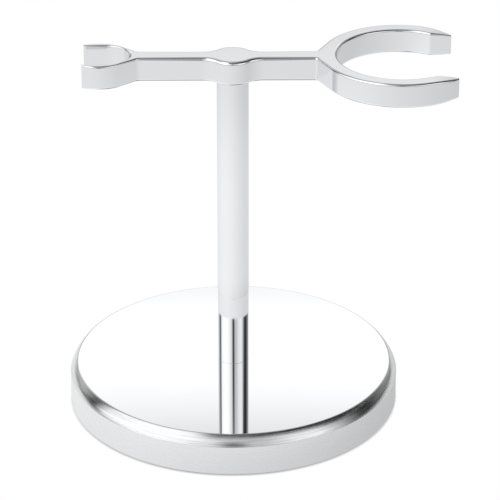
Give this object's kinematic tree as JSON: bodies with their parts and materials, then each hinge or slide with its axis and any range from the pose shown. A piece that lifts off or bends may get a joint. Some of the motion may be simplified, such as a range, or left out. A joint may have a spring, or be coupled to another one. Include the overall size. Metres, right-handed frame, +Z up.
{
  "type": "shaving brush and razor stand",
  "caption": "Countertop stand with a weighted round base, a plain post and a cross-arm whose open forks hold a shaving brush and a safety razor.",
  "frame": {"origin": "centre of the base's underside, on the post's axis", "axes": "+Z up along the post, +X towards the brush fork, +Y across the arm"},
  "size_m": [0.1036, 0.09, 0.1018],
  "materials": {
    "chrome_base": "mirror-polished top, finely brushed shoulder and side",
    "chrome_post": "mirror-polished",
    "chrome_arm": "polished casting",
    "weight": "black primer",
    "pad": "matt, fine grain",
    "zinc_steel": "zinc-plated"
  },
  "bodies": {
    "stand": {"base_shell": "chrome_base", "ballast_weight": "weight", "base_pad": "pad", "foot_screw": "zinc_steel", "flat_washer": "zinc_steel", "spring_washer": "zinc_steel", "post": "chrome_post", "top_stud": "zinc_steel"},
    "cross_arm": {"fork_arm": "chrome_arm"}
  },
  "joints": [
    {"name": "arm_swivel", "type": "hinge", "parent": "stand", "child": "cross_arm", "pos_m": [0, 0, 0.0952], "axis": [0, 0, 1], "continuous": true}
  ]
}
